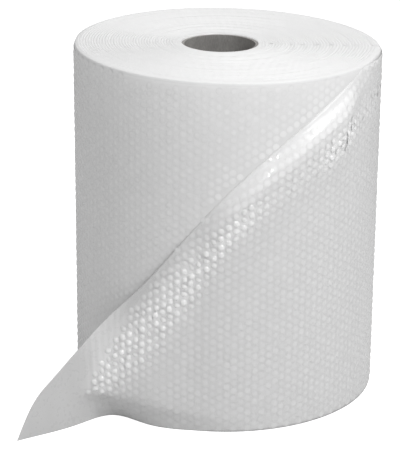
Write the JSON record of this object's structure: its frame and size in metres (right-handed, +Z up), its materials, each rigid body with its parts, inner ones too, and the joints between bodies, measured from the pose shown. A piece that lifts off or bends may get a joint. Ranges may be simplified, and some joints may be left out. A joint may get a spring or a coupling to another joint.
{
  "type": "bubble wrap roll",
  "caption": "Upright roll of bubble wrap wound on a paperboard core, with the slant-cut end of the film drawn out to a corner at the foot.",
  "frame": {"origin": "centre of the core's bore at the foot, where the roll stands", "axes": "+Z up along the core's bore; -Y faces the viewer of the picture and the drawn-out corner lies towards -X and -Y"},
  "size_m": [0.499, 0.4691, 0.5035],
  "materials": {
    "film": "milky translucent polyethylene bubble film",
    "paperboard": "matt grey board"
  },
  "bodies": {
    "root": {"bubble_film": "film", "core_tube": "paperboard"}
  },
  "joints": []
}
